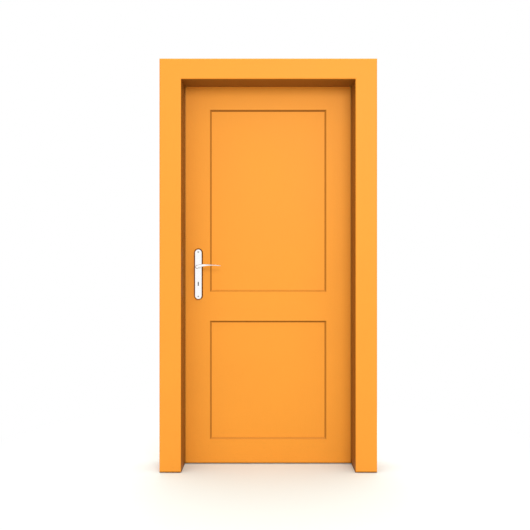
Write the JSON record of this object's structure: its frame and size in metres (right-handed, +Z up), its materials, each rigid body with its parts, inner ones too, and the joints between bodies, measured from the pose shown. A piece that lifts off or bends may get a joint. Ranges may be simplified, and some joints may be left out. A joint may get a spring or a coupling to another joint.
{
  "type": "single panelled interior door in a cased frame",
  "caption": "Painted flat-panel interior door hung in a rebated, cased lining, with butt hinges and a lever handle on a long plate; the leaf swings and the lever turns.",
  "frame": {"origin": "on the hinge jamb's wall face, at floor level and mid-wall", "axes": "+X out of the doorway through the hinge jamb into the wall, +Y through the wall towards the side the leaf opens to, +Z up"},
  "size_m": [1.125, 0.2568, 2.1395],
  "materials": {
    "orange_paint": "satin",
    "handle_metal": "polished",
    "ironmongery": "satin"
  },
  "bodies": {
    "frame": {"lock_jamb": "orange_paint", "hinge_jamb": "orange_paint", "head_jamb": "orange_paint", "strike_plate": "ironmongery", "front_casing_left": "orange_paint", "front_casing_right": "orange_paint", "front_casing_head": "orange_paint", "rear_casing_left": "orange_paint", "rear_casing_right": "orange_paint", "rear_casing_head": "orange_paint", "frame_hinge_leaf_top": "ironmongery", "frame_hinge_leaf_middle": "ironmongery", "frame_hinge_leaf_bottom": "ironmongery", "hinge_pin_top": "ironmongery", "hinge_pin_middle": "ironmongery", "hinge_pin_bottom": "ironmongery"},
    "leaf": {"lock_stile": "orange_paint", "hinge_stile": "orange_paint", "top_rail": "orange_paint", "lock_rail": "orange_paint", "bottom_rail": "orange_paint", "upper_panel": "orange_paint", "lower_panel": "orange_paint", "lock_forend": "ironmongery", "latch_bolt": "ironmongery", "dead_bolt": "ironmongery", "leaf_hinge_leaf_top": "ironmongery", "leaf_hinge_leaf_middle": "ironmongery", "leaf_hinge_leaf_bottom": "ironmongery", "front_plate": "handle_metal", "rear_plate": "handle_metal"},
    "levers": {"front_lever": "handle_metal", "rear_lever": "handle_metal", "spindle": "ironmongery"}
  },
  "joints": [
    {"name": "leaf_swing", "type": "hinge", "parent": "frame", "child": "leaf", "pos_m": [-0.02925, 0.092, 1.049], "axis": [0, 0, -1], "range_deg": [0, 110]},
    {"name": "lever_turn", "type": "hinge", "parent": "leaf", "child": "levers", "pos_m": [-0.865, 0.065, 1.063], "axis": [0, 1, 0], "range_deg": [0, 40], "stiffness_Nm_per_rad": 1.5, "springref_deg": -28.65}
  ]
}
